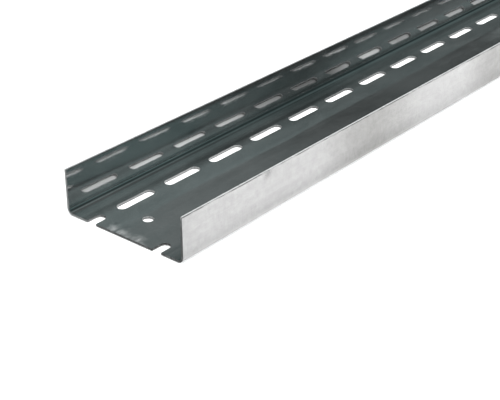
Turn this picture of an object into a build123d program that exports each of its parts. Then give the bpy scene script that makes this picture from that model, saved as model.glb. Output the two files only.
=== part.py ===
from build123d import *
import os

# Cold-formed steel channel (a reinforcing profile), one piece of bent sheet.
# Its length lies along +X and it stands on its web, flanges up.
# Origin: middle of the length, middle of the web's width, on the underside
# of the web. All sizes in millimetres.

# --- driving dimensions -------------------------------------------------
length = 4000.0          # stock length
web_width = 125.0        # over both flanges
flange_height = 40.0     # over the web's underside
sheet = 2.0              # sheet thickness
bend_inner = 4.0         # inside bend radius; outside is this plus the sheet

slot_width = 9.0
slot_length = 40.0       # end to end, along the profile
slot_row = 35.0          # each row of slots, either side of the middle line
slots_per_row = 73       # the first and last are cut through by the ends
slot_first = -6.0        # centre of the first one, measured in from the end

end_hole_d = 9.0         # one round hole in the web at each end
end_hole_in = 32.0       # its centre, measured in from the end
end_hole_off = 4.3       # its centre, off the middle line, towards +Y

# --- derived ------------------------------------------------------------
slot_pitch = (length - 2.0 * slot_first) / (slots_per_row - 1)
slot_x = [-length / 2.0 + slot_first + n * slot_pitch for n in range(slots_per_row)]
bend_outer = bend_inner + sheet

print("slot pitch", round(slot_pitch, 4))
print("first whole slot centre", round(slot_x[1], 4))

# --- section ------------------------------------------------------------
# Drawn in the YZ plane and run along X. The outer outline goes round the
# outside of the web and flanges, the inner one round the channel.
half = web_width / 2.0
section_plane = Plane(origin=(-length / 2.0, 0, 0), x_dir=(0, 1, 0), z_dir=(1, 0, 0))

with BuildPart() as body:
    with BuildSketch(section_plane) as section:
        with BuildLine() as outline:
            Line((-half + bend_outer, 0), (half - bend_outer, 0))
            RadiusArc((half - bend_outer, 0), (half, bend_outer), -bend_outer)
            Line((half, bend_outer), (half, flange_height))
            Line((half, flange_height), (half - sheet, flange_height))
            Line((half - sheet, flange_height), (half - sheet, bend_outer))
            RadiusArc((half - sheet, bend_outer), (half - bend_outer, sheet), bend_inner)
            Line((half - bend_outer, sheet), (-half + bend_outer, sheet))
            RadiusArc((-half + bend_outer, sheet), (-half + sheet, bend_outer), bend_inner)
            Line((-half + sheet, bend_outer), (-half + sheet, flange_height))
            Line((-half + sheet, flange_height), (-half, flange_height))
            Line((-half, flange_height), (-half, bend_outer))
            RadiusArc((-half, bend_outer), (-half + bend_outer, 0), -bend_outer)
        make_face()
    extrude(amount=length)
blank = body.part

# --- punched holes ------------------------------------------------------
# Each slot is an obround cutter through the web. The end ones reach past
# the cut ends, so they leave open notches there.
cutters = []
for x in slot_x:
    for y in (-slot_row, slot_row):
        outline = Plane.XY.offset(-1.0) * Pos(x, y) * SlotOverall(slot_length, slot_width)
        cutters.append(extrude(outline, amount=sheet + 2.0))
for x in (-length / 2.0 + end_hole_in, length / 2.0 - end_hole_in):
    cutters.append(
        Pos(x, end_hole_off, sheet / 2.0) * Cylinder(end_hole_d / 2.0, sheet + 2.0)
    )

profile = blank - cutters
solid = profile.solids()[0]
print("solids", len(profile.solids()), "volume", round(solid.volume, 1))

# Volume by hand: the section times the length, less the holes' own area.
import math

bend_area = math.pi / 4.0 * (bend_outer**2 - bend_inner**2)
section_area = (
    (web_width - 2.0 * bend_outer) * sheet
    + 2.0 * (flange_height - bend_outer) * sheet
    + 2.0 * bend_area
)
slot_area = (slot_length - slot_width) * slot_width + math.pi * (slot_width / 2.0) ** 2
r = slot_width / 2.0
notch_depth = slot_first + slot_length / 2.0
notch_area = (notch_depth - r) * slot_width + math.pi * r**2 / 2.0
holes_area = (
    2 * (slots_per_row - 2) * slot_area
    + 4 * notch_area
    + 2 * math.pi * (end_hole_d / 2.0) ** 2
)
print("volume by hand", round(section_area * length - holes_area * sheet, 1))

os.makedirs("parts", exist_ok=True)
export_step(solid, "parts/reinforcing_profile.step")
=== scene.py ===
import bpy
import math
from mathutils import Matrix, Vector
from mathutils.geometry import delaunay_2d_cdt


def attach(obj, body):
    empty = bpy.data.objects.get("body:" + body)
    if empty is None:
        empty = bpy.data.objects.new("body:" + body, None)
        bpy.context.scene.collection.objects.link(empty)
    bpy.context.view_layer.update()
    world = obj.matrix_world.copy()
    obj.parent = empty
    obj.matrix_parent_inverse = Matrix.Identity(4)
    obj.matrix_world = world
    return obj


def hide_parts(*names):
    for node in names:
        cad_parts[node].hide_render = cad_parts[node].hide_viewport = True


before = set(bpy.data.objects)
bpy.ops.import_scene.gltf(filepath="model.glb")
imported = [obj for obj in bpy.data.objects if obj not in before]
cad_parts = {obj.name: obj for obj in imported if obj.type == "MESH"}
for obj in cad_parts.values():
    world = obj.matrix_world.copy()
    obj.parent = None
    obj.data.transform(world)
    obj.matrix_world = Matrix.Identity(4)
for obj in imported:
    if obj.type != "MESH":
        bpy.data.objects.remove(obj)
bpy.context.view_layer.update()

# ------------------------------------------------------------------ sizes (mm)
LENGTH, WEB, HEIGHT, SHEET = 4000.0, 125.0, 40.0, 2.0
R_IN = 4.0
R_OUT = R_IN + SHEET
SLOT_W, SLOT_L, ROW = 9.0, 40.0, 35.0
SLOTS, FIRST = 73, -6.0
PITCH = (LENGTH - 2 * FIRST) / (SLOTS - 1)
HOLE_D, HOLE_IN, HOLE_OFF = 9.0, 32.0, 4.3
HALF_L, HALF_W = LENGTH / 2, WEB / 2
FLAT_Y = HALF_W - R_OUT                      # the web is flat out to here

# The sheet is laid out flat first: x along it, s across it from the top of
# the +Y flange, t through it from the inside face. bend() folds it up.
S_ARC = HEIGHT - R_OUT                       # flange ends, bend begins
S_WEB = S_ARC + R_OUT * math.pi / 2          # bend ends, web begins
S_END = 2 * S_WEB + 2 * FLAT_Y
MM = 0.001


def s_of_y(y):
    return S_WEB + FLAT_Y - y


def half_bend(s, t):
    """(y, z, outward y, outward z) on the +Y half, where outward points from the inside face through the sheet."""
    if s <= S_ARC:
        return HALF_W - SHEET + t, HEIGHT - s, 1.0, 0.0
    if s < S_WEB:
        a = (s - S_ARC) / R_OUT
        r = R_IN + t
        return FLAT_Y + r * math.cos(a), R_OUT - r * math.sin(a), math.cos(a), -math.sin(a)
    return FLAT_Y - (s - S_WEB), SHEET - t, 0.0, -1.0


def bend(s, t):
    if s <= S_END / 2:
        return half_bend(s, t)
    y, z, a, b = half_bend(S_END - s, t)
    return -y, z, -a, b


def along(s):
    """Direction in y and z in which s grows."""
    _, _, a, b = bend(s, 0.0)
    return b, -a


# ------------------------------------------------------------- flat outline
# Each boundary point is (x, s, nx, ns): n points out of the metal.
def arc(cx, cs, r, a0, a1, n, inward):
    """Points on an arc from a0 to a1. inward: the metal lies outside the circle."""
    out = []
    for i in range(n + 1):
        a = a0 + (a1 - a0) * i / n
        c, k = math.cos(a), math.sin(a)
        sign = -1.0 if inward else 1.0
        out.append((cx + r * c, cs + r * k, sign * c, sign * k))
    return out


ROUND = 16       # steps on a half circle
CORNER = 0.45    # the cut corners of the sheet are this little rounded


def slot_loop(cx, cs):
    h, r = SLOT_L / 2 - SLOT_W / 2, SLOT_W / 2
    return (arc(cx + h, cs, r, -math.pi / 2, math.pi / 2, ROUND, True)
            + [(cx + h / 3, cs + r, 0, -1), (cx - h / 3, cs + r, 0, -1)]
            + arc(cx - h, cs, r, math.pi / 2, 3 * math.pi / 2, ROUND, True)
            + [(cx - h / 3, cs - r, 0, 1), (cx + h / 3, cs - r, 0, 1)])


def round_loop(cx, cs):
    return arc(cx, cs, HOLE_D / 2, 0, 2 * math.pi, 2 * ROUND, True)[:-1]


FLANGE_S = [6.0, 15.0, 25.5]
ARC_N = 12
ARC_S = [S_ARC + (S_WEB - S_ARC) * i / ARC_N for i in range(ARC_N + 1)]
SIDE_S = FLANGE_S + ARC_S                       # one flange and bend, s growing
WEB_Y = [50.0, 45.0, 22.0, 9.0, 0.0, -9.0, -22.0, -45.0, -50.0]


def end_outline():
    """The -X end from s = 0 to S_END, as points at x measured from that end."""
    c, r = CORNER, SLOT_W / 2
    half_pi = math.pi / 2
    notch_end = FIRST + SLOT_L / 2 - r         # centre of the notch's round end
    pts = arc(c, c, c, 3 * half_pi, 2 * half_pi, 3, False)      # flange corner
    pts += [(0.0, s, -1.0, 0.0) for s in SIDE_S]
    for row in (ROW, -ROW):
        a, b = s_of_y(row + r), s_of_y(row - r)
        if row > 0:
            pts.append((0.0, s_of_y(50.0), -1.0, 0.0))
        pts += arc(c, a - c, c, math.pi, half_pi, 3, False)
        pts += arc(notch_end, (a + b) / 2, r, -half_pi, half_pi, ROUND, True)
        pts += arc(c, b + c, c, -half_pi, -math.pi, 3, False)
        if row > 0:
            pts += [(0.0, s_of_y(y), -1.0, 0.0) for y in (22.0, 9.0, 0.0, -9.0, -22.0)]
        else:
            pts.append((0.0, s_of_y(-50.0), -1.0, 0.0))
    pts += [(0.0, S_END - s, -1.0, 0.0) for s in reversed(SIDE_S)]
    pts += arc(c, S_END - c, c, math.pi, half_pi, 3, False)
    return pts


slot_x = [-HALF_L + FIRST + n * PITCH for n in range(SLOTS)]
cell_x = [x + PITCH / 2 for x in slot_x[:-1]]            # between the slots
cols = sorted(cell_x + slot_x[1:-1])                     # columns of the plain strips

near = [(x - HALF_L, s, nx, ns) for x, s, nx, ns in end_outline()]
far = [(-x, s, -nx, ns) for x, s, nx, ns in near]
loops = []                                               # (kind, [points], round-over inside, outside)
rim = near + [(x, S_END, 0.0, 1.0) for x in cols] + far[::-1] + [(x, 0.0, 0.0, -1.0) for x in reversed(cols)]
loops.append(("rim", rim, 0.22, 0.14))
slot_ids, hole_ids = {}, {}
for n in range(1, SLOTS - 1):
    for row in (ROW, -ROW):
        slot_ids[n, row] = len(loops)
        loops.append(("slot", slot_loop(slot_x[n], s_of_y(row)), 0.45, 0.10))
for n, x in ((1, -HALF_L + HOLE_IN), (SLOTS - 2, HALF_L - HOLE_IN)):
    hole_ids[n] = len(loops)
    loops.append(("hole", round_loop(x, s_of_y(HOLE_OFF)), 0.45, 0.10))

# --------------------------------------------------------------- the mesh
verts, normals, attrs = [], [], []      # attrs: (x, s, side) and edge
faces, face_uv = [], []
edge_attr, burr_attr = [], []
K = 3                                   # the unfolded strip is cut in three for the map
split = [cell_x[23], cell_x[47]]


def stretch_of(x):
    return 0 if x < split[0] else 1 if x < split[1] else 2


def add(x, s, t, edge, normal=None, side=None, burr=0.0):
    y, z, oy, oz = bend(min(max(s, 0.0), S_END), t)
    verts.append((x * MM, y * MM, z * MM))
    if normal is None:
        normal = (0.0, oy, oz) if t > SHEET / 2 else (0.0, -oy, -oz)
    normals.append(normal)
    attrs.append((x * MM, s * MM, (1.0 if t > SHEET / 2 else 0.0) if side is None else side))
    edge_attr.append(edge)
    burr_attr.append(burr)
    return len(verts) - 1


MARGIN, BAND = 3.0, 2 * (S_END + 6.0)
UV_SCALE = 1.0 / max((LENGTH / K + 60.0), K * BAND)


def uv_at(x, s, side, part):
    """Flat layout: each third of the length is a band that holds the inside face and, above it, the outside one."""
    x0 = (-HALF_L, split[0], split[1])[part]
    return ((x - x0 + MARGIN) * UV_SCALE, (part * BAND + side * (S_END + 6.0) + s + MARGIN) * UV_SCALE)


def face(ids, side, part, flat):
    """flat: the (x, s) of each corner on the layout."""
    if side == 1:
        ids, flat = ids[::-1], flat[::-1]
    faces.append(ids)
    face_uv.append([uv_at(x, s, side, part) for x, s in flat])


ring_ids = [[None, None] for _ in loops]     # per loop, per side: vertex of each point on that face


def face_ring(i, side):
    kind, pts, b_in, b_out = loops[i]
    b, t = (b_out, SHEET) if side else (b_in, 0.0)
    if ring_ids[i][side] is None:
        ring_ids[i][side] = [add(x - b * nx, s - b * ns, t, 0.0) for x, s, nx, ns in pts]
    return ring_ids[i][side]


def flat_of(v):
    return attrs[v][0] / MM, attrs[v][1] / MM


def rim_index():
    """Where the rim's stretches begin: near end, s = S_END side, far end, s = 0 side."""
    a = len(near)
    b = a + len(cols)
    c = b + len(far)
    return a, b, c


def surface(side):
    t = SHEET * side
    rim_v = face_ring(0, side)
    a, b, c = rim_index()
    near_v = rim_v[:a]
    top_hi = rim_v[a:b]                        # s = S_END, x growing
    far_v = rim_v[b:c][::-1]                   # as near_v: s growing
    top_lo = rim_v[c:][::-1]                   # s = 0, x growing
    side_n = len(SIDE_S)
    head = 4                                   # corner arc points in near
    grid = {}
    for k, s in enumerate(SIDE_S):
        grid[0, k] = near_v[head + k]
        grid[1, k] = near_v[len(near_v) - 1 - head - k]
    for half in (0, 1):
        rows = {}
        for k, s in enumerate(SIDE_S):
            ss = s if half == 0 else S_END - s
            far_id = far_v[head + k] if half == 0 else far_v[len(far_v) - 1 - head - k]
            rows[k] = [grid[half, k]] + [add(x, ss, t, 0.0) for x in cols] + [far_id]
        top = top_lo if half == 0 else top_hi
        xs = [-HALF_L] + cols + [HALF_L]
        for j in range(len(xs) - 1):
            part = stretch_of((xs[j] + xs[j + 1]) / 2)
            # the strip beside the cut edge, whose end ones take the rounded corner
            upper = rows[0]
            ids = []
            if j == 0:
                corner = near_v[:head] if half == 0 else near_v[-head:][::-1]
                ids = [upper[0]] + corner[::-1] + [top[0]] + [upper[1]]
            elif j == len(xs) - 2:
                corner = far_v[:head] if half == 0 else far_v[-head:][::-1]
                ids = [upper[j], top[-1]] + corner + [upper[j + 1]]
            else:
                ids = [upper[j], top[j - 1], top[j], upper[j + 1]]
            if half == 0:
                ids = ids[::-1]
            face(ids, side, part, [flat_of(v) for v in ids])
            for k in range(side_n - 1):
                ids = [rows[k][j], rows[k][j + 1], rows[k + 1][j + 1], rows[k + 1][j]]
                if half == 0:
                    ids = ids[::-1]
                    ids = ids[::-1]
                else:
                    ids = ids[::-1]
                face(ids, side, part, [flat_of(v) for v in ids])
        grid["edge", half] = rows[side_n - 1]
    # the web, cell by cell
    first_web = head + side_n
    web_near = near_v[first_web:len(near_v) - head - side_n]
    web_far = far_v[first_web:len(far_v) - head - side_n]
    walls = {}
    for n in range(SLOTS - 1):
        walls[n] = [add(cell_x[n], s_of_y(y), t, 0.0) for y in WEB_Y]
    col_of = {x: i + 1 for i, x in enumerate(cols)}
    for n in range(SLOTS):
        left_x = -HALF_L if n == 0 else cell_x[n - 1]
        right_x = HALF_L if n == SLOTS - 1 else cell_x[n]
        li = 0 if n == 0 else col_of[left_x]
        ri = len(cols) + 1 if n == SLOTS - 1 else col_of[right_x]
        low, high = grid["edge", 0], grid["edge", 1]
        left = web_near if n == 0 else walls[n - 1]
        right = web_far if n == SLOTS - 1 else walls[n]
        outline = [low[i] for i in range(li, ri + 1)] + right + [high[i] for i in range(ri, li - 1, -1)] + left[::-1]
        holes = []
        for row in (ROW, -ROW):
            if (n, row) in slot_ids:
                holes.append(face_ring(slot_ids[n, row], side))
        if n in hole_ids:
            holes.append(face_ring(hole_ids[n], side))
        extra = []
        if 0 < n < SLOTS - 1:
            for dx in (-14.0, 0.0, 14.0):
                for y in (49.0, 21.0, 9.0, -9.0, -21.0, -49.0):
                    p = (slot_x[n] + dx, s_of_y(y))
                    clear = n not in hole_ids or abs(p[0]) < HALF_L - HOLE_IN - 9 or abs(y) > 12
                    if clear:
                        extra.append(add(p[0], p[1], t, 0.0))
        fill(outline, holes, extra, side, stretch_of((left_x + right_x) / 2))


def inside(p, poly):
    hit = False
    j = len(poly) - 1
    for i in range(len(poly)):
        if (poly[i][1] > p[1]) != (poly[j][1] > p[1]):
            x = (poly[j][0] - poly[i][0]) * (p[1] - poly[i][1]) / (poly[j][1] - poly[i][1]) + poly[i][0]
            if p[0] < x:
                hit = not hit
        j = i
    return hit


def fill(outline, holes, extra, side, part):
    """Triangles over a flat outline with holes in it."""
    ids = list(outline)
    edges = [(i, (i + 1) % len(outline)) for i in range(len(outline))]
    for h in holes:
        o = len(ids)
        ids += h
        edges += [(o + i, o + (i + 1) % len(h)) for i in range(len(h))]
    ids += extra
    co = [Vector(flat_of(v)) for v in ids]
    out_v, _, out_f, orig_v, _, _ = delaunay_2d_cdt(co, edges, [], 0, 1e-7)
    if len(out_v) != len(ids):
        raise ValueError(f"the layout met itself: {len(out_v)} points from {len(ids)}")
    back = [o[0] for o in orig_v]
    polys = [[co[i] for i in range(len(outline))]]
    at = len(outline)
    for h in holes:
        polys.append([co[i] for i in range(at, at + len(h))])
        at += len(h)
    for f in out_f:
        c = sum((out_v[i] for i in f), Vector((0.0, 0.0))) / len(f)
        if not inside(c, polys[0]) or any(inside(c, q) for q in polys[1:]):
            continue
        tri = [ids[back[i]] for i in f]
        p, q, r = (out_v[i] for i in f)
        area = (q[0] - p[0]) * (r[1] - p[1]) - (r[0] - p[0]) * (q[1] - p[1])
        if area > 0:
            tri = tri[::-1]
        face(tri, side, part, [flat_of(v) for v in tri])


def wall_burr(kind, s, step):
    """How far the shear has smoothed and darkened a cut wall, ring by ring from the inside face."""
    if kind != "rim":                             # punched: the tear is dark by the outside face
        return (-0.3, -0.5, -0.5, -0.1, 1.0, 1.0)[step]
    if s < 1.0 or s > S_END - 1.0:                # the coil's slit edges: a dark line at each face
        return (1.0, 1.0, 0.0, 0.0, 0.9, 1.0)[step]
    if s > S_END - S_WEB:                         # the ends are cut from one side: dark first, pale last
        return (1.0, 1.0, 0.95, 0.95, 1.0, 1.0)[step]
    if s < s_of_y(ROW):
        return (0.6, 0.9, 0.15, 0.0, 0.0, 0.2)[step]
    return (0.8, 1.0, 1.0, 0.55, 0.0, 0.2)[step]


def bands():
    """The cut walls, with a small round-over at both faces."""
    q = 1 - math.sqrt(0.5)
    for i, (kind, pts, b_in, b_out) in enumerate(loops):
        rows = [face_ring(i, 0)]
        # (offset back into the metal, depth, share of the face's normal)
        steps = [(q * b_in, q * b_in, 0.7071), (0.0, b_in, 0.0), (0.0, 0.85, 0.0), (0.0, 1.38, 0.0),
                 (0.0, SHEET - b_out, 0.0), (q * b_out, SHEET - q * b_out, -0.7071)]
        for step, (off, depth, lean) in enumerate(steps):
            row = []
            for x, s, nx, ns in pts:
                burr = wall_burr(kind, s, step)
                ay, az = along(min(max(s, 0.0), S_END))
                _, _, oy, oz = bend(min(max(s, 0.0), S_END), 0.0)
                out = (nx, ns * ay, ns * az)
                flat = math.sqrt(1 - lean * lean)
                n = (flat * out[0], flat * out[1] - lean * oy, flat * out[2] - lean * oz)
                row.append(add(x - off * nx, s - off * ns, depth, 1.0, n, 0.5, burr))
            rows.append(row)
        rows.append(face_ring(i, 1))
        # unfolded length of each ring from the face that it is drawn beside
        arc_in, arc_out = b_in * 0.8, b_out * 0.8
        reach = [0.0, arc_in, 2 * arc_in, 2 * arc_in + 0.85 - b_in, 2 * arc_in + 1.38 - b_in]
        back = [2 * arc_out + SHEET - 1.38 - b_out, 2 * arc_out, arc_out, 0.0]
        m = len(pts)
        for j in range(m):
            k = (j + 1) % m
            xm = (pts[j][0] + pts[k][0]) / 2
            part = stretch_of(xm)
            for r in range(7):
                side = 0 if r < 4 else 1
                base_b = b_out if side else b_in
                lo = reach[r] if side == 0 else back[r - 4]
                hi = reach[r + 1] if side == 0 else back[r - 3]

                def at(p, d):
                    x, s, nx, ns = p
                    return x + (d - base_b) * nx, s + (d - base_b) * ns

                ids = [rows[r][j], rows[r][k], rows[r + 1][k], rows[r + 1][j]]
                flat = [at(pts[j], lo), at(pts[k], lo), at(pts[k], hi), at(pts[j], hi)]
                faces.append(ids)
                face_uv.append([uv_at(x, s, side, part) for x, s in flat])


surface(0)
surface(1)
bands()

mesh = bpy.data.meshes.new("reinforcing_profile_steel")
mesh.from_pydata(verts, [], faces)
mesh.update()

# Every wall and face is wound so that it looks out of the metal: from_pydata
# keeps the order, and the check against the exact normals turns the rest.
flip = []
for p in mesh.polygons:
    n = Vector((0.0, 0.0, 0.0))
    for v in p.vertices:
        n += Vector(normals[v])
    if p.normal.dot(n) < 0:
        flip.append(p.index)
if flip:
    bad = set(flip)
    faces = [f[::-1] if i in bad else f for i, f in enumerate(faces)]
    face_uv = [u[::-1] if i in bad else u for i, u in enumerate(face_uv)]
    bpy.data.meshes.remove(mesh)
    mesh = bpy.data.meshes.new("reinforcing_profile_steel")
    mesh.from_pydata(verts, [], faces)
    mesh.update()
print("faces", len(faces), "turned", len(flip), "verts", len(verts))

uv = mesh.uv_layers.new(name="OFBake")
uv.data.foreach_set("uv", [c for f in face_uv for p in f for c in p])
flat_attr = mesh.attributes.new("flat", "FLOAT_VECTOR", "POINT")
flat_attr.data.foreach_set("vector", [c for a in attrs for c in a])
cut_attr = mesh.attributes.new("cut", "FLOAT", "POINT")
cut_attr.data.foreach_set("value", edge_attr)
burr_at = mesh.attributes.new("burr", "FLOAT", "POINT")
burr_at.data.foreach_set("value", burr_attr)
for p in mesh.polygons:
    p.use_smooth = True
mesh.normals_split_custom_set_from_vertices([Vector(n).normalized() for n in normals])

steel = bpy.data.objects.new("reinforcing_profile_steel", mesh)
bpy.context.scene.collection.objects.link(steel)

# ------------------------------------------------------------------ material
class Nodes:
    """Short ways to write a node tree down."""

    def __init__(self, tree):
        self.tree = tree

    def set(self, socket, value):
        if isinstance(value, bpy.types.NodeSocket):
            self.tree.links.new(value, socket)
        elif value is not None:
            socket.default_value = value

    def math(self, op, a, b=None, c=None, clamp=False):
        n = self.tree.nodes.new("ShaderNodeMath")
        n.operation, n.use_clamp = op, clamp
        for i, v in enumerate((a, b, c)):
            if v is not None:
                self.set(n.inputs[i], v)
        return n.outputs[0]

    def add(self, *terms):
        out = terms[0]
        for v in terms[1:]:
            out = self.math("ADD", out, v)
        return out

    def mul(self, a, b):
        return self.math("MULTIPLY", a, b)

    def vec(self, op, a, b=None, out=0):
        n = self.tree.nodes.new("ShaderNodeVectorMath")
        n.operation = op
        self.set(n.inputs[0], a)
        if b is not None:
            self.set(n.inputs[1], b)
        return n.outputs[out]

    def scale(self, v, k):
        n = self.tree.nodes.new("ShaderNodeVectorMath")
        n.operation = "SCALE"
        self.set(n.inputs[0], v)
        self.set(n.inputs["Scale"], k)
        return n.outputs[0]

    def xyz(self, v):
        n = self.tree.nodes.new("ShaderNodeSeparateXYZ")
        self.set(n.inputs[0], v)
        return n.outputs

    def noise(self, v, detail=2.0, rough=0.5, distort=0.0):
        n = self.tree.nodes.new("ShaderNodeTexNoise")
        n.inputs["Scale"].default_value = 1.0
        n.inputs["Detail"].default_value = detail
        n.inputs["Roughness"].default_value = rough
        n.inputs["Distortion"].default_value = distort
        self.set(n.inputs["Vector"], v)
        return n.outputs["Fac"]

    def signed(self, v, **kw):
        """A noise from about -1 to 1."""
        return self.ramp(self.noise(v, **kw), 0.3, 0.7, -1.0, 1.0)

    def ramp(self, v, lo, hi, to_lo=0.0, to_hi=1.0, smooth=False):
        n = self.tree.nodes.new("ShaderNodeMapRange")
        n.clamp = True
        if smooth:
            n.interpolation_type = "SMOOTHSTEP"
        for k, x in zip(("Value", "From Min", "From Max", "To Min", "To Max"), (v, lo, hi, to_lo, to_hi)):
            self.set(n.inputs[k], x)
        return n.outputs["Result"]

    def bump_at(self, v, centre, width):
        """1 at the centre, falling off smoothly over the width to each side."""
        d = self.math("ABSOLUTE", self.math("SUBTRACT", v, centre))
        return self.ramp(d, 0.0, width, 1.0, 0.0, smooth=True)

    def blot(self, v, centre, half):
        """1 at a place on the layout, falling off over the half sizes. The third one keeps it to one face."""
        d = self.vec("SUBTRACT", v, centre)
        d = self.vec("DIVIDE", d, half)
        return self.ramp(self.vec("LENGTH", d, out=1), 0.0, 1.0, 1.0, 0.0, smooth=True)

    def mix(self, f, a, b):
        n = self.tree.nodes.new("ShaderNodeMix")
        n.data_type = "RGBA"
        self.set(n.inputs["Factor"], f)
        self.set(n.inputs[6], a)
        self.set(n.inputs[7], b)
        return n.outputs[2]


def at_end(x, y, side=0.0):
    """Layout place x mm in from the -X end, y mm off the middle line."""
    return ((x - HALF_L) * MM, s_of_y(y) * MM, side)


def material():
    m = bpy.data.materials.new("galvanised_steel")
    m.use_nodes = True
    nt = m.node_tree
    k = Nodes(nt)
    shader = nt.nodes["Principled BSDF"]
    flat_n = nt.nodes.new("ShaderNodeAttribute")
    flat_n.attribute_name = "flat"
    flat = flat_n.outputs["Vector"]
    cut_n = nt.nodes.new("ShaderNodeAttribute")
    cut_n.attribute_name = "cut"
    cut = cut_n.outputs["Fac"]
    burr_n = nt.nodes.new("ShaderNodeAttribute")
    burr_n.attribute_name = "burr"
    burr = burr_n.outputs["Fac"]
    x, s, side = k.xyz(flat)[:]

    # Textures over the layout, in metres. The two faces differ by the third one.
    streak = k.signed(k.vec("MULTIPLY", flat, (2.1, 620.0, 7.3)), detail=3.0, rough=0.55)
    band = k.signed(k.vec("MULTIPLY", flat, (1.3, 95.0, 5.1)), detail=2.0)
    cloud = k.signed(k.vec("MULTIPLY", flat, (17.0, 31.0, 3.7)), detail=4.0, rough=0.6, distort=0.6)
    mottle = k.signed(k.vec("MULTIPLY", flat, (560.0, 130.0, 9.7)), detail=2.0, rough=0.6)
    blotch = k.signed(k.vec("MULTIPLY", flat, (150.0, 190.0, 8.3)), detail=3.0, rough=0.65)
    grit = k.signed(k.vec("MULTIPLY", flat, (900.0, 900.0, 21.0)), detail=2.0, rough=0.7)
    grain = k.signed(k.vec("MULTIPLY", flat, (2400.0, 2400.0, 11.0)), detail=1.0)
    patina = k.signed(k.vec("MULTIPLY", flat, (7.5, 9.0, 2.3)), detail=1.0)
    cells = nt.nodes.new("ShaderNodeTexVoronoi")
    cells.inputs["Scale"].default_value = 1.0
    k.set(cells.inputs["Vector"], k.vec("MULTIPLY", flat, (240.0, 260.0, 13.0)))
    spangle = k.ramp(k.xyz(cells.outputs["Color"])[0], 0.0, 1.0, -1.0, 1.0)
    scratch = k.ramp(k.noise(k.vec("MULTIPLY", flat, (38.0, 1900.0, 3.1)), detail=1.0), 0.71, 0.75, 0.0, 1.0)

    # Distances from the bends, where the rolls leave their marks
    from_bend = k.math("ABSOLUTE", k.math("SUBTRACT", k.math("ABSOLUTE", k.math("SUBTRACT", s, S_END / 2 * MM)), FLAT_Y * MM))
    on_web = k.ramp(k.math("ABSOLUTE", k.math("SUBTRACT", s, S_END / 2 * MM)), FLAT_Y * MM, (FLAT_Y + 1.0) * MM, 1.0, 0.0)
    on_flange = k.ramp(k.math("ABSOLUTE", k.math("SUBTRACT", s, S_END / 2 * MM)), (FLAT_Y + 3.2) * MM, (FLAT_Y + 6.0) * MM, 0.0, 1.0, smooth=True)
    inner = k.ramp(side, 0.2, 0.45, 1.0, 0.0)
    outer = k.ramp(side, 0.55, 0.8, 0.0, 1.0)

    # Dull, paler smears by the end that is seen, and darker stretches of the outside along the length, partly painted
    # shade
    shift = nt.nodes.new("ShaderNodeTexNoise")
    shift.inputs["Scale"].default_value = 1.0
    shift.inputs["Detail"].default_value = 3.0
    k.set(shift.inputs["Vector"], k.vec("MULTIPLY", flat, (130.0, 130.0, 1.0)))
    warped = k.vec("ADD", flat, k.vec("MULTIPLY", k.vec("SUBTRACT", shift.outputs["Color"], (0.5, 0.5, 0.5)), (0.011, 0.011, 0.0)))
    smear = None
    for place, half, much in (((3.0, 15.0), (9.0, 6.0), 1.0), ((3.5, 5.0), (9.0, 6.0), 1.0), ((1.5, -2.0), (7.0, 7.0), 0.8), ((3.0, -12.0), (9.5, 8.5), 1.0), ((0.0, -19.0), (5.0, 6.0), 0.8)):
        one = k.mul(k.blot(warped, at_end(*place), (half[0] * MM, half[1] * MM, 0.5)), much)
        smear = one if smear is None else k.math("MAXIMUM", smear, one)
    smear = k.mul(smear, k.ramp(k.noise(k.vec("MULTIPLY", flat, (210.0, 420.0, 3.0)), detail=3.0), 0.36, 0.56, 0.6, 1.0))
    fleck = k.blot(flat, at_end(11.3, 19.2), (0.0016, 0.0013, 0.5))
    # Where the outside is darker along the length: two soft bands of painted shade near the seen end, then the coat
    # dulled at random further along
    dull_coat_and_painted_shade = k.math("MAXIMUM", k.bump_at(x, -1.755, 0.095), k.mul(0.85, k.bump_at(x, -1.55, 0.065)))
    dull_coat_and_painted_shade = k.math("MAXIMUM", dull_coat_and_painted_shade, k.mul(k.ramp(patina, 0.25, 0.9), k.ramp(x, -1.5, -1.42)))
    dull_coat_and_painted_shade = k.mul(dull_coat_and_painted_shade, outer)
    nick_place = ((99.0 - HALF_L) * MM, (S_END - 2.0) * MM, 1.0)
    nick = k.blot(flat, nick_place, (0.0085, 0.0065, 0.4))

    tone = k.add(1.0, k.mul(streak, 0.035), k.mul(band, 0.03), k.mul(cloud, 0.045), k.mul(spangle, 0.032), k.mul(grain, 0.03),
                 k.mul(k.mul(mottle, outer), 0.035), k.mul(k.mul(blotch, outer), 0.035), k.mul(k.mul(grit, outer), 0.05), k.mul(outer, -0.085), k.mul(dull_coat_and_painted_shade, -0.30), k.mul(smear, 0.46), k.mul(fleck, -0.5), k.mul(scratch, 0.09), k.mul(nick, -0.26))
    # Painted shade inside each bend: a dark line along the crease.
    painted_crease_shade = k.mul(k.bump_at(k.math("ABSOLUTE", k.math("SUBTRACT", s, S_END / 2 * MM)), (FLAT_Y + 5.2) * MM, 2.4 * MM), inner)
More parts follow.
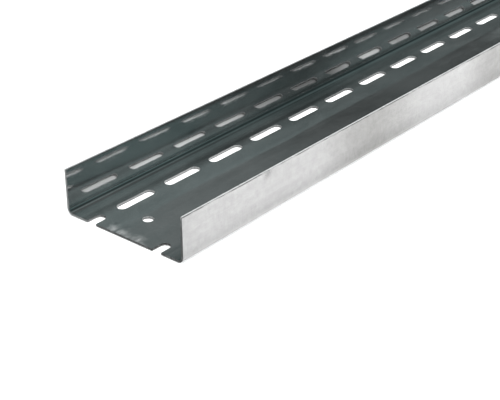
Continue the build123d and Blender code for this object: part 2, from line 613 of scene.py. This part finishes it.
    # Painted shade in the strip between each bend and its slots, where the rolls press the sheet: it stands in for the
    # shading of that relief and pales towards a thin dark line
    off = k.math("ABSOLUTE", k.math("SUBTRACT", s, S_END / 2 * MM))
    strip = k.mul(k.ramp(off, 46.3 * MM, 57.5 * MM, 0.08, 0.50), k.ramp(off, 45.6 * MM, 46.6 * MM))
    strip = k.add(strip, k.mul(k.ramp(off, 39.0 * MM, 44.0 * MM, 0.0, 0.23, smooth=True), k.ramp(off, 45.2 * MM, 46.2 * MM, 1.0, 0.0)))
    strip = k.mul(strip, k.mul(inner, k.ramp(off, 57.0 * MM, 59.5 * MM, 1.0, 0.0)))
    strip = k.mul(strip, k.ramp(x, -1.875, -1.775, 0.78, 1.12))
    # Painted shade: a soft darker patch in that strip on the inside, about 300 mm from the seen end.
    painted_haze_shade = k.mul(k.mul(k.bump_at(x, -1.695, 0.08), inner), k.mul(k.ramp(off, 38.0 * MM, 42.0 * MM), k.ramp(off, 57.0 * MM, 59.5 * MM, 1.0, 0.0)))
    strip = k.add(strip, k.mul(painted_haze_shade, 0.26))
    # Painted shade: two wider darker bands inside each bend, beside that line, stronger further from the seen end.
    painted_bend_shade = k.mul(k.mul(k.ramp(off, (FLAT_Y + 2.6) * MM, (FLAT_Y + 4.4) * MM), k.ramp(off, (FLAT_Y + 6.3) * MM, (FLAT_Y + 8.3) * MM, 1.0, 0.0)), inner)
    painted_ledge_shade = k.mul(k.mul(k.ramp(off, (FLAT_Y + 0.8) * MM, (FLAT_Y + 2.2) * MM), k.ramp(off, (FLAT_Y + 3.4) * MM, (FLAT_Y + 5.0) * MM, 1.0, 0.0)), inner)
    lip = k.math("MINIMUM", s, k.math("SUBTRACT", S_END * MM, s))
    scraped = k.mul(k.ramp(lip, 0.45 * MM, 1.15 * MM, 1.0, 0.0), k.ramp(k.noise(k.vec("MULTIPLY", flat, (70.0, 700.0, 17.0)), detail=4.0, rough=0.7), 0.45, 0.53))
    tone = k.mul(tone, k.math("SUBTRACT", 1.0, k.mul(k.mul(scraped, outer), 0.80)))
    tone = k.mul(tone, k.math("SUBTRACT", 1.0, k.mul(k.mul(k.ramp(x, -2.0, -1.975, 1.0, 0.0), outer), 0.07)))
    # Painted light: the outside of each bend and the foot of the flange above it are up to 45 percent lighter.
    tone = k.mul(tone, k.add(1.0, k.mul(k.mul(k.ramp(off, (FLAT_Y + 4.0) * MM, (FLAT_Y + 11.0) * MM, 1.0, 0.0, smooth=True), k.ramp(off, (FLAT_Y - 1.0) * MM, FLAT_Y * MM)), k.mul(outer, 0.45))))
    # The painted shade of the strips darkens the zinc here.
    tone = k.mul(tone, k.math("SUBTRACT", 1.0, strip))
    # The painted shade inside the bends darkens the zinc here.
    tone = k.mul(tone, k.math("SUBTRACT", 1.0, k.mul(painted_crease_shade, 0.68)))
    tone = k.mul(tone, k.math("SUBTRACT", 1.0, k.mul(painted_bend_shade, k.ramp(x, -1.885, -1.765, 0.47, 0.68))))
    tone = k.mul(tone, k.math("SUBTRACT", 1.0, k.mul(painted_ledge_shade, k.ramp(x, -1.80, -1.71, 0.15, 0.32))))
    tone = k.mul(tone, k.math("SUBTRACT", 1.0, k.mul(k.mul(k.ramp(lip, 2.0 * MM, 5.0 * MM, 1.0, 0.0), inner), -0.12)))
    zinc = k.scale((0.477, 0.477, 0.477), tone)
    # A cooler tint on the painted shade inside the bends and on the web's strips, a touch cooler on the inner flange
    # faces and warmer on the outside.
    cooler = nt.nodes.new("ShaderNodeCombineXYZ")
    k.set(cooler.inputs[0], k.add(1.0, k.mul(k.math("MAXIMUM", k.math("MAXIMUM", painted_crease_shade, painted_bend_shade), k.math("MAXIMUM", painted_ledge_shade, strip)), -0.16), k.mul(k.mul(on_flange, inner), -0.015), k.mul(outer, 0.017)))
    cooler.inputs[1].default_value = 1.0
    k.set(cooler.inputs[2], k.add(1.0, k.mul(dull_coat_and_painted_shade, -0.02)))
    zinc = k.vec("MULTIPLY", zinc, cooler.outputs[0])
    slit = k.math("MAXIMUM", k.ramp(s, 0.15 * MM, 0.4 * MM, 1.0, 0.0), k.ramp(s, (S_END - 0.4) * MM, (S_END - 0.15) * MM))
    speck = k.ramp(k.noise(k.vec("MULTIPLY", flat, (620.0, 900.0, 40.0)), detail=3.0, rough=0.7), 0.56, 0.66, 0.0, 1.0)
    torn = k.ramp(k.noise(k.vec("MULTIPLY", flat, (1500.0, 1500.0, 40.0)), detail=2.0), 0.3, 0.7, 0.8, 1.15)
    bare = k.mix(slit, (0.29, 0.291, 0.29, 1.0), (0.66, 0.662, 0.66, 1.0))
    bare = k.mix(k.mul(speck, 0.75), bare, (0.085, 0.085, 0.083, 1.0))
    ragged = k.mul(burr, k.ramp(k.noise(k.vec("MULTIPLY", flat, (420.0, 420.0, 3.0)), detail=2.0), 0.32, 0.50, 0.55, 1.0))
    bare = k.scale(bare, k.mul(torn, k.math("SUBTRACT", 1.0, k.mul(ragged, 0.86))))
    k.set(shader.inputs["Base Color"], k.mix(cut, zinc, bare))

    rough = k.add(0.072, k.mul(cloud, 0.014), k.mul(streak, 0.010), k.mul(mottle, 0.008), k.mul(patina, 0.01), k.mul(spangle, 0.006), k.mul(smear, 0.19),
                  k.mul(scratch, -0.015), k.mul(nick, 0.12), k.mul(outer, 0.14), k.mul(k.mul(on_flange, inner), -0.016))
    k.set(shader.inputs["Roughness"], k.add(k.mul(rough, k.math("SUBTRACT", 1.0, cut)), k.mul(cut, 0.44)))
    metal = k.add(0.97, k.mul(cloud, -0.015), k.mul(smear, -0.23), k.mul(cut, -0.32), k.mul(k.mul(cut, slit), -0.35))
    k.set(shader.inputs["Metallic"], metal)

    # Relief in mm
    wave = k.signed(k.vec("MULTIPLY", flat, (10.0, 46.0, 4.1)), detail=1.0)
    peel = k.signed(k.vec("MULTIPLY", flat, (110.0, 170.0, 6.1)), detail=2.0)
    ridge = k.add(k.mul(k.bump_at(from_bend, 5.5 * MM, 4.0 * MM), 0.045), k.mul(k.bump_at(from_bend, 12.5 * MM, 3.0 * MM), -0.02))
    height = k.add(k.mul(wave, 0.035), k.mul(peel, 0.0026), k.mul(streak, 0.0009), k.mul(mottle, 0.0007), k.mul(grain, 0.00012),
                   k.mul(k.mul(ridge, on_web), 1.0), k.mul(scratch, -0.0015), k.mul(nick, -0.06),
                   k.mul(cut, k.mul(speck, -0.03)), k.mul(cut, k.mul(torn, 0.02)))
    # The +Y flange springs open by a few degrees, more at its foot and towards its lip, which the flat wall leaves out
    geo = nt.nodes.new("ShaderNodeNewGeometry")
    open_by = nt.nodes.new("ShaderNodeValToRGB")
    open_by.color_ramp.interpolation = "CARDINAL"
    stops = [(0.0, 0.107), (5.0, 0.1015), (7.8, 0.100), (10.6, 0.101), (17.0, 0.078), (22.0, 0.045), (25.5, 0.030), (29.7, 0.070), (33.5, 0.125)]
    ce = open_by.color_ramp.elements
    while len(ce) < len(stops):
        ce.new(0.5)
    for e, (place, v) in zip(ce, stops):
        e.position = place / 34.0
        e.color = (v * 5, v * 5, v * 5, 1.0)
    k.set(open_by.inputs["Fac"], k.ramp(s, 0.0, 34.0 * MM))
    up_lean = nt.nodes.new("ShaderNodeCombineXYZ")
    k.set(up_lean.inputs[0], -0.09)
    k.set(up_lean.inputs[2], k.mul(k.xyz(open_by.outputs["Color"])[0], 0.2))
    this_one = k.ramp(s, S_END / 2 * MM, (S_END / 2 + 1.0) * MM, 1.0, 0.0)
    lean = k.scale(up_lean.outputs[0], k.mul(k.mul(on_flange, inner), this_one))
    leaned = k.vec("NORMALIZE", k.vec("ADD", geo.outputs["Normal"], lean))
    bump = nt.nodes.new("ShaderNodeBump")
    bump.inputs["Strength"].default_value = 1.0
    bump.inputs["Distance"].default_value = 0.001
    k.set(bump.inputs["Height"], height)
    k.set(bump.inputs["Normal"], leaned)
    k.set(shader.inputs["Normal"], bump.outputs[0])
    return m


steel.data.materials.append(material())

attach(steel, "root")
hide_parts("reinforcing_profile")

# --------------------------------------------------------------------- stage
floor_mesh = bpy.data.meshes.new("floor")
F = 14.0
floor_mesh.from_pydata([(-F, -F, 0), (F, -F, 0), (F, F, 0), (-F, F, 0)], [], [(0, 1, 2, 3)])
floor = bpy.data.objects.new("floor", floor_mesh)
bpy.context.scene.collection.objects.link(floor)
fm = bpy.data.materials.new("floor_pale")
fm.use_nodes = True
fp = fm.node_tree.nodes["Principled BSDF"]
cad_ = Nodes(fm.node_tree)
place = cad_.xyz(fm.node_tree.nodes.new("ShaderNodeNewGeometry").outputs["Position"])


# The web and the far flange mirror the floor through the slots. Under the web the
# mirrored floor is darker in places along the length; the floor itself stays pale.
def fall_off(stops):
    n = fm.node_tree.nodes.new("ShaderNodeValToRGB")
    e = n.color_ramp.elements
    while len(e) < len(stops):
        e.new(0.5)
    for one, (mm, v) in zip(e, stops):
        one.position = mm / 800.0
        one.color = (v, v, v, 1.0)
    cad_.set(n.inputs["Fac"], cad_.ramp(place[0], -HALF_L * MM, (800.0 - HALF_L) * MM))
    return n.outputs["Color"]


far_row = fall_off([(20, 0.72), (60, 0.72), (95, 0.94), (165, 0.92), (213, 0.77), (263, 0.42), (312, 0.23), (370, 0.18), (405, 0.5), (437, 0.85), (468, 0.7), (495, 0.44), (600, 0.6), (800, 0.8)])
near_row = fall_off([(20, 0.95), (60, 0.95), (110, 1.15), (270, 1.15), (308, 0.62), (360, 0.50), (420, 1.0), (800, 1.0)])
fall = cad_.mix(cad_.ramp(place[1], -0.01, 0.01), near_row, far_row)
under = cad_.mul(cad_.ramp(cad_.math("ABSOLUTE", place[1]), 0.058, 0.064, 1.0, 0.0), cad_.ramp(place[0], -2.002, -1.999))
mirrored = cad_.mul(under, fm.node_tree.nodes.new("ShaderNodeLightPath").outputs["Is Glossy Ray"])
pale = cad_.mix(mirrored, (1.0, 1.0, 1.0, 1.0), fall)
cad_.set(fp.inputs["Base Color"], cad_.vec("MULTIPLY", pale, (0.86, 0.86, 0.86)))
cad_.set(fp.inputs["Emission Strength"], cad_.mul(fm.node_tree.nodes.new("ShaderNodeLightPath").outputs["Is Camera Ray"], 0.30))
fp.inputs["Roughness"].default_value = 0.9
fp.inputs["Emission Color"].default_value = (1.0, 1.0, 1.0, 1.0)
fp.inputs["Specular IOR Level"].default_value = 0.0
floor_mesh.materials.append(fm)
floor.location.z = -0.0002

# --------------------------------------------------------------------- light
def area(name, loc, size, size_y, power, target=(0, 0, 0)):
    d = bpy.data.lights.new(name, "AREA")
    d.shape = "RECTANGLE"
    d.size, d.size_y = size, size_y
    d.energy = power
    o = bpy.data.objects.new(name, d)
    o.location = loc
    o.rotation_euler = (Vector(target) - Vector(loc)).to_track_quat("-Z", "Y").to_euler()
    bpy.context.scene.collection.objects.link(o)
    return o


top = area("softbox_top", (0.0, 0.0, 4.2), 9.0, 5.0, 360.0)
front = area("softbox_front", (-0.6, -3.2, 1.5), 5.0, 2.0, 150.0)
for lamp in (top, front):
    lamp.visible_glossy = False

# The surroundings: a dim room with a bright ceiling. Its brightness goes by
# height, and on the -Y side the low part is lighter and the middle dark.
world = bpy.data.worlds.new("studio")
bpy.context.scene.world = world
world.use_nodes = True
wt = world.node_tree
k = Nodes(wt)
here = wt.nodes.new("ShaderNodeTexCoord").outputs["Generated"]
wx, wy, wz = k.xyz(here)[:]


def heights(stops, red):
    n = wt.nodes.new("ShaderNodeValToRGB")
    e = n.color_ramp.elements
    while len(e) < len(stops):
        e.new(0.5)
    for el_, (deg, v) in zip(e, stops):
        el_.position = math.sin(math.radians(deg))
        el_.color = (v * (red if deg < 50 else 1.0), v, v, 1.0)
    k.set(n.inputs["Fac"], wz)
    return n.outputs["Color"]


plus = heights([(0, 0.32), (9, 0.32), (12, 0.40), (14.5, 0.60), (18.7, 0.60), (20.3, 0.10), (21.1, 0.105), (22.3, 0.14), (23.6, 0.085),
                (24.7, 0.11), (26, 0.175), (28, 0.235), (31, 0.235), (36, 0.13), (47, 0.19), (53, 0.3), (64, 0.95)], 0.86)
minus = heights([(0, 0.20), (9, 0.20), (10, 0.32), (10.8, 0.20), (12, 0.26), (14.5, 0.37), (20, 0.36), (26, 0.20), (28.6, 0.31), (30.3, 0.245),
                 (32.7, 0.41), (35, 0.48), (41, 0.46), (45, 0.28), (53, 0.32), (64, 0.95)], 0.79)


def around(stops, lo=26.0, hi=72.0):
    """A darker stretch of the room: stops are (degrees away from +X, factor)."""
    n = wt.nodes.new("ShaderNodeValToRGB")
    e = n.color_ramp.elements
    while len(e) < len(stops):
        e.new(0.5)
    for el_, (deg, v) in zip(e, stops):
        el_.position = (deg - lo) / (hi - lo)
        el_.color = (v, v, v, 1.0)
    k.set(n.inputs["Fac"], k.ramp(k.math("ABSOLUTE", k.math("ARCTAN2", wy, wx)), math.radians(lo), math.radians(hi)))
    return n.outputs["Color"]


low = k.ramp(wz, math.sin(math.radians(27.5)), math.sin(math.radians(31)), 1.0, 0.0)
white = (1.0, 1.0, 1.0, 1.0)
minus = k.vec("MULTIPLY", minus, k.mix(low, white, around([(26, 1.0), (42, 1.0), (45.7, 0.76), (47.4, 0.60), (48.9, 0.40), (50.2, 0.42), (51.6, 0.54), (53.2, 0.78), (54.8, 1.06), (56.7, 1.25), (59, 1.2), (61, 1.1), (63.5, 0.95), (72, 1.0)])))
cool = k.mix(k.ramp(k.math("ABSOLUTE", k.math("ARCTAN2", wy, wx)), math.radians(44), math.radians(48)), white, (0.76, 1.0, 1.0, 1.0))
plus = k.vec("MULTIPLY", plus, k.mix(low, white, k.vec("MULTIPLY", cool, around([(26, 0.8), (29.2, 0.62), (30.2, 0.8), (31.5, 1.03), (32.6, 0.95), (33.9, 0.80), (35.2, 0.82), (36.6, 0.88), (38.2, 1.0), (46.3, 0.90), (47.6, 0.44), (49.4, 0.24), (50.2, 0.26), (51.6, 0.40), (53.2, 0.50), (54.8, 0.60), (56.7, 0.80), (59, 0.90), (61, 0.82), (63.5, 0.64), (72, 1.0)]))))
sky = k.mix(k.ramp(wy, -0.25, 0.1, smooth=True), minus, plus)
paths = wt.nodes.new("ShaderNodeLightPath")
seen = k.mix(paths.outputs["Is Camera Ray"], sky, (0.93, 0.93, 0.93, 1.0))
k.set(wt.nodes["Background"].inputs["Color"], seen)
wt.nodes["Background"].inputs["Strength"].default_value = 1.0

scene = bpy.context.scene
scene.view_settings.view_transform = "Standard"
scene.view_settings.look = "None"
scene.view_settings.exposure = 0.0
scene.view_settings.gamma = 1.0

# -------------------------------------------------------------------- camera
F_PX, AZ, EL, ROLL = 1247.5, 39.841, 27.920, -0.137
CAM = (-2.57824, -0.60945, 0.47540)
az, el, ro = (math.radians(v) for v in (AZ, EL, ROLL))
fwd = Vector((math.cos(az) * math.cos(el), math.sin(az) * math.cos(el), -math.sin(el)))
right = Vector((math.sin(az), -math.cos(az), 0.0))
up = right.cross(fwd)
r2 = math.cos(ro) * right + math.sin(ro) * up
u2 = -math.sin(ro) * right + math.cos(ro) * up
cam_data = bpy.data.cameras.new("camera")
cam_data.sensor_fit = "HORIZONTAL"
cam_data.sensor_width = 36.0
cam_data.lens = F_PX / 500.0 * 36.0
cam_data.clip_start, cam_data.clip_end = 0.01, 100.0
cam = bpy.data.objects.new("camera", cam_data)
m = Matrix((r2, u2, -fwd)).transposed().to_4x4()
m.translation = Vector(CAM)
cam.matrix_world = m
bpy.context.scene.collection.objects.link(cam)
scene.camera = cam
